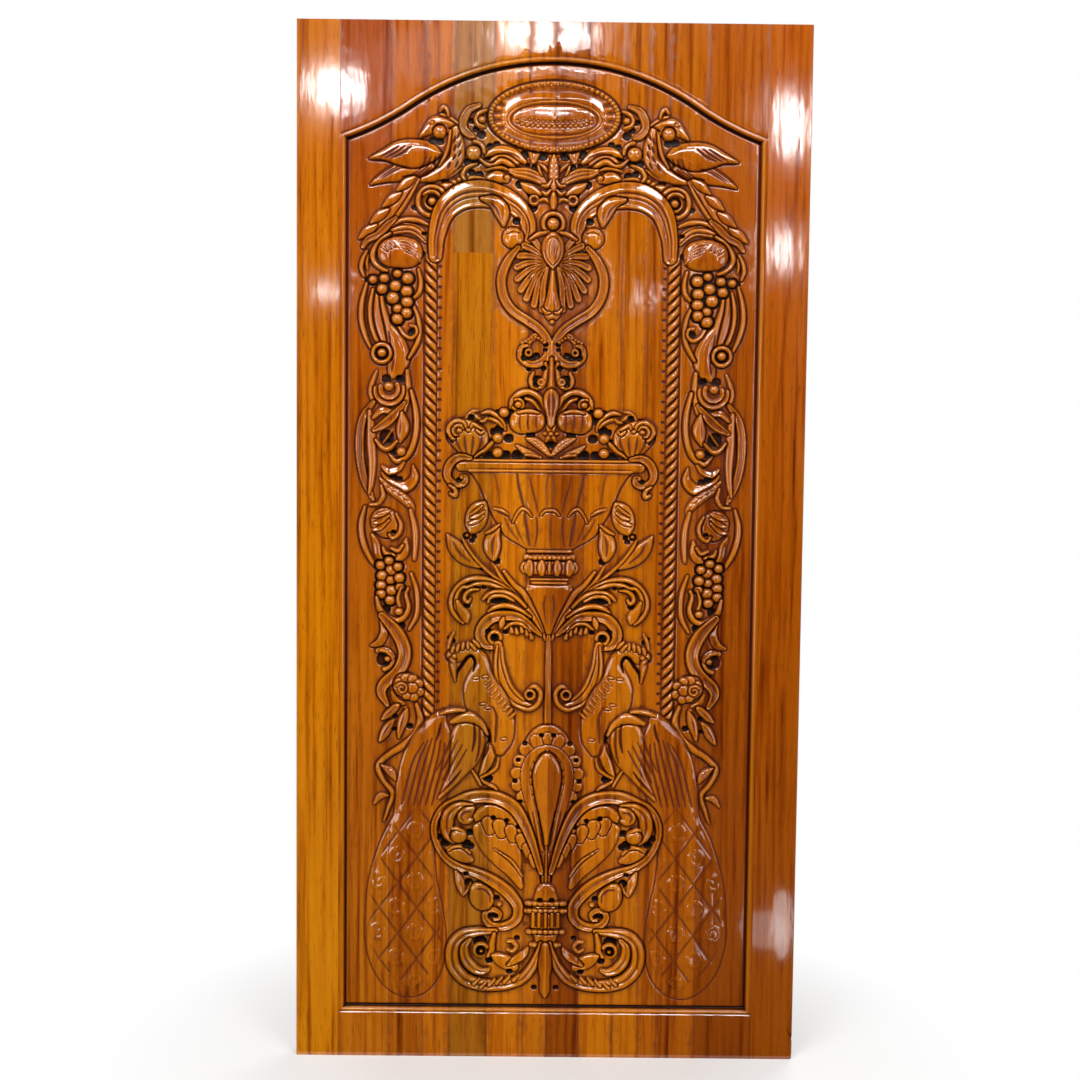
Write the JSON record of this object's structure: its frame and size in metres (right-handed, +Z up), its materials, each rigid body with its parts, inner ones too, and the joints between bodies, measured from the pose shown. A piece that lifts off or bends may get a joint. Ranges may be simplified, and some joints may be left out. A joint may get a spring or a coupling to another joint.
{
  "type": "carved wooden door leaf",
  "caption": "Flat wooden door leaf of upright glued boards, with a sunk arched panel carved in relief with birds, vines, rope columns, a fruit urn and scrolls on its front.",
  "frame": {"origin": "middle of the leaf's lower edge, halfway through its thickness", "axes": "+Z up the leaf, +Y through it towards the plain back, so the carved face looks along -Y, +X to the right of someone facing the carving"},
  "size_m": [1, 0.04, 2.05],
  "materials": {
    "varnished_teak_stile": "gloss varnish over open, upright grain",
    "varnished_teak_carving": "gloss varnish, with dark stain left in the hollows of the carving"
  },
  "bodies": {
    "root": {"left_stile": "varnished_teak_stile", "carved_panel": "varnished_teak_carving", "right_stile": "varnished_teak_stile"}
  },
  "joints": []
}
